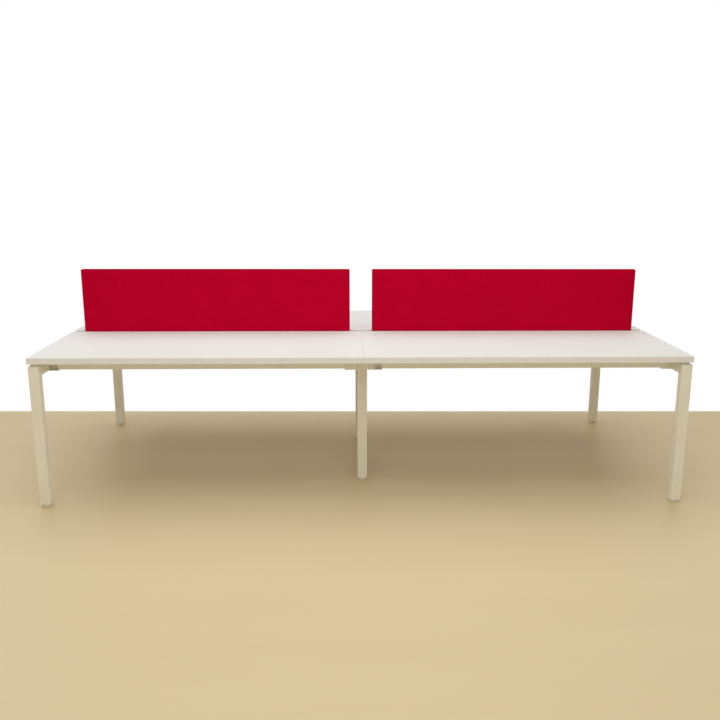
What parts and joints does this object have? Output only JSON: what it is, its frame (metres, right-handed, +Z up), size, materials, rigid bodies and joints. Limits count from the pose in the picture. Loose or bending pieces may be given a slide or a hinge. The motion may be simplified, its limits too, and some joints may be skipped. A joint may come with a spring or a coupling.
{
  "type": "bench desk",
  "caption": "Long bench desk with facing worktops on a pale square-tube frame, levelling feet under the legs, and red fabric screens standing in the gap along the middle.",
  "frame": {"origin": "on the floor under the middle of the desk", "axes": "+X along the desk to the right, +Y from the front side to the back side, +Z up"},
  "size_m": [3.2, 1.6, 1.093],
  "materials": {
    "worktop": "white melamine",
    "edge_band": "white plastic edging, satin",
    "frame": "cream powder coat",
    "bracket": "cream powder coat",
    "spacer": "cream moulded plastic",
    "end_cap": "cream moulded plastic",
    "fastener": "zinc plated",
    "foot_pad": "pale moulded plastic",
    "foot_stem": "zinc plated thread",
    "screen_plate": "cream powder coat",
    "screen": "red woven screen cloth"
  },
  "bodies": {
    "desk": {"top_front_left": "worktop", "band_front_left": "edge_band", "beam_front_left": "frame", "bracket_front_left_inner": "bracket", "bracket_front_left_outer": "bracket", "top_front_right": "worktop", "band_front_right": "edge_band", "beam_front_right": "frame", "bracket_front_right_inner": "bracket", "bracket_front_right_outer": "bracket", "leg_front_left": "frame", "strip_front_left": "spacer", "leg_front_centre": "frame", "strip_front_centre": "spacer", "leg_front_right": "frame", "strip_front_right": "spacer", "top_back_left": "worktop", "band_back_left": "edge_band", "beam_back_left": "frame", "bracket_back_left_inner": "bracket", "bracket_back_left_outer": "bracket", "top_back_right": "worktop", "band_back_right": "edge_band", "beam_back_right": "frame", "bracket_back_right_inner": "bracket", "bracket_back_right_outer": "bracket", "leg_back_left": "frame", "strip_back_left": "spacer", "leg_back_centre": "frame", "strip_back_centre": "spacer", "leg_back_right": "frame", "strip_back_right": "spacer", "rail_left": "frame", "rail_centre": "frame", "rail_right": "frame", "leg_caps": "end_cap", "rail_caps": "end_cap", "leg_plugs": "end_cap", "bracket_bolts": "fastener", "bracket_nuts": "fastener", "clamp_screws": "fastener", "wood_screws": "fastener", "top_blocks": "spacer", "screen_plates": "screen_plate", "screen_left": "screen", "screen_right": "screen"},
    "foot_pad_front_left": {"foot_pad_front_left": "foot_pad"},
    "foot_stem_front_left": {"foot_stem_front_left": "foot_stem"},
    "foot_pad_front_centre": {"foot_pad_front_centre": "foot_pad"},
    "foot_stem_front_centre": {"foot_stem_front_centre": "foot_stem"},
    "foot_pad_front_right": {"foot_pad_front_right": "foot_pad"},
    "foot_stem_front_right": {"foot_stem_front_right": "foot_stem"},
    "foot_pad_back_left": {"foot_pad_back_left": "foot_pad"},
    "foot_stem_back_left": {"foot_stem_back_left": "foot_stem"},
    "foot_pad_back_centre": {"foot_pad_back_centre": "foot_pad"},
    "foot_stem_back_centre": {"foot_stem_back_centre": "foot_stem"},
    "foot_pad_back_right": {"foot_pad_back_right": "foot_pad"},
    "foot_stem_back_right": {"foot_stem_back_right": "foot_stem"}
  },
  "joints": [
    {"name": "foot_lift_front_left", "type": "slide", "parent": "desk", "child": "foot_pad_front_left", "axis": [0, 0, -1], "range_m": [0, 0.015]},
    {"name": "foot_turn_front_left", "type": "hinge", "parent": "foot_pad_front_left", "child": "foot_stem_front_left", "pos_m": [-1.572, -0.772, 0.005], "axis": [0, 0, -1], "range_deg": [0, 3600]},
    {"name": "foot_lift_front_centre", "type": "slide", "parent": "desk", "child": "foot_pad_front_centre", "axis": [0, 0, -1], "range_m": [0, 0.015]},
    {"name": "foot_turn_front_centre", "type": "hinge", "parent": "foot_pad_front_centre", "child": "foot_stem_front_centre", "pos_m": [0, -0.39, 0.005], "axis": [0, 0, -1], "range_deg": [0, 3600]},
    {"name": "foot_lift_front_right", "type": "slide", "parent": "desk", "child": "foot_pad_front_right", "axis": [0, 0, -1], "range_m": [0, 0.015]},
    {"name": "foot_turn_front_right", "type": "hinge", "parent": "foot_pad_front_right", "child": "foot_stem_front_right", "pos_m": [1.572, -0.772, 0.005], "axis": [0, 0, -1], "range_deg": [0, 3600]},
    {"name": "foot_lift_back_left", "type": "slide", "parent": "desk", "child": "foot_pad_back_left", "axis": [0, 0, -1], "range_m": [0, 0.015]},
    {"name": "foot_turn_back_left", "type": "hinge", "parent": "foot_pad_back_left", "child": "foot_stem_back_left", "pos_m": [-1.572, 0.772, 0.005], "axis": [0, 0, -1], "range_deg": [0, 3600]},
    {"name": "foot_lift_back_centre", "type": "slide", "parent": "desk", "child": "foot_pad_back_centre", "axis": [0, 0, -1], "range_m": [0, 0.015]},
    {"name": "foot_turn_back_centre", "type": "hinge", "parent": "foot_pad_back_centre", "child": "foot_stem_back_centre", "pos_m": [0, 0.39, 0.005], "axis": [0, 0, -1], "range_deg": [0, 3600]},
    {"name": "foot_lift_back_right", "type": "slide", "parent": "desk", "child": "foot_pad_back_right", "axis": [0, 0, -1], "range_m": [0, 0.015]},
    {"name": "foot_turn_back_right", "type": "hinge", "parent": "foot_pad_back_right", "child": "foot_stem_back_right", "pos_m": [1.572, 0.772, 0.005], "axis": [0, 0, -1], "range_deg": [0, 3600]}
  ],
  "couplings": [
    {"joint": "foot_turn_front_left", "follows": "foot_lift_front_left", "rad_per_m": 4188.8},
    {"joint": "foot_turn_front_centre", "follows": "foot_lift_front_centre", "rad_per_m": 4188.8},
    {"joint": "foot_turn_front_right", "follows": "foot_lift_front_right", "rad_per_m": 4188.8},
    {"joint": "foot_turn_back_left", "follows": "foot_lift_back_left", "rad_per_m": 4188.8},
    {"joint": "foot_turn_back_centre", "follows": "foot_lift_back_centre", "rad_per_m": 4188.8},
    {"joint": "foot_turn_back_right", "follows": "foot_lift_back_right", "rad_per_m": 4188.8}
  ]
}
